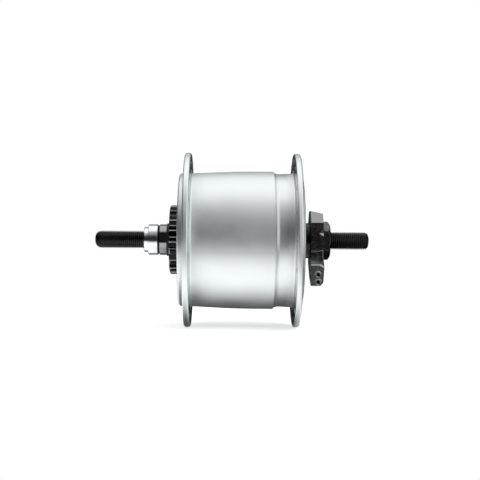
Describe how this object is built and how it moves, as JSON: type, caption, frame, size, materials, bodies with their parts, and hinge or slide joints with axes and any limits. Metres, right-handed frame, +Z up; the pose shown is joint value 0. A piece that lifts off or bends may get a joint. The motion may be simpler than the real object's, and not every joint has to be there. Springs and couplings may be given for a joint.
{
  "type": "hub dynamo",
  "caption": "Bicycle front hub dynamo: flanged aluminium shell spinning on a threaded axle, with a serrated brake boss and a pull-off wire connector.",
  "frame": {"origin": "middle of the axle, on the spin axis", "axes": "+Y along the axle toward the brake side, -Y toward the connector; +Z up, with the connector cap hanging toward -Z; the wire holes face -X"},
  "size_m": [0.089, 0.14, 0.089],
  "materials": {
    "satin_aluminium": "satin, machined and clear coated",
    "black_oxide_steel": "black oxide, slightly oily",
    "bright_nut_steel": "bright plated and turned",
    "cone_steel": "ground steel",
    "bearing_steel": "polished and hardened",
    "boss_steel": "black coated",
    "black_plastic": "moulded, fine grain",
    "grey_plastic": "moulded, fine grain",
    "black_rubber": "matt",
    "terminal_brass": "bright strip",
    "copper_winding": "enamelled wire",
    "electrical_steel": "pressed sheet",
    "ferrite": "sintered, matt",
    "bobbin_plastic": "moulded",
    "lead_insulation": "smooth insulation",
    "zinc_washer": "zinc plated"
  },
  "bodies": {
    "axle_assembly": {"axle": "black_oxide_steel", "left_lock_nut": "bright_nut_steel", "left_washer": "black_oxide_steel", "left_cone": "cone_steel", "left_dust_cap": "black_rubber", "right_cone": "cone_steel", "right_dust_cap": "black_plastic", "connector_housing": "black_plastic", "connector_terminals": "terminal_brass", "connector_washer": "black_oxide_steel", "right_lock_nut": "black_oxide_steel", "lead_wires": "lead_insulation", "stator_core": "electrical_steel", "left_pole_yoke": "electrical_steel", "right_pole_yoke": "electrical_steel", "coil_bobbin": "bobbin_plastic", "coil_winding": "copper_winding", "stator_washer": "zinc_washer", "stator_nut": "zinc_washer"},
    "shell_assembly": {"hub_shell": "satin_aluminium", "brake_spline_boss": "boss_steel", "right_end_cover": "satin_aluminium", "cover_seal": "black_rubber", "left_bearing_cup": "bearing_steel", "right_bearing_cup": "bearing_steel", "left_seal": "black_rubber", "right_seal": "black_rubber", "magnet_yoke_ring": "electrical_steel", "magnet_arcs": "ferrite"},
    "left_ball_cage": {"left_balls": "bearing_steel", "left_ball_retainer": "zinc_washer"},
    "right_ball_cage": {"right_balls": "bearing_steel", "right_ball_retainer": "zinc_washer"},
    "cap_assembly": {"connector_cap": "grey_plastic"}
  },
  "joints": [
    {"name": "shell_spin", "type": "hinge", "parent": "axle_assembly", "child": "shell_assembly", "pos_m": [0, 0, 0], "axis": [0, 1, 0], "continuous": true},
    {"name": "left_cage_spin", "type": "hinge", "parent": "axle_assembly", "child": "left_ball_cage", "pos_m": [0, 0.024, 0], "axis": [0, 1, 0], "continuous": true},
    {"name": "right_cage_spin", "type": "hinge", "parent": "axle_assembly", "child": "right_ball_cage", "pos_m": [0, -0.0286, 0], "axis": [0, 1, 0], "continuous": true},
    {"name": "cap_pull", "type": "slide", "parent": "axle_assembly", "child": "cap_assembly", "axis": [0, 0, -1], "range_m": [0, 0.008]}
  ],
  "couplings": [
    {"joint": "left_cage_spin", "follows": "shell_spin", "ratio": 0.5794},
    {"joint": "right_cage_spin", "follows": "shell_spin", "ratio": 0.5794}
  ]
}
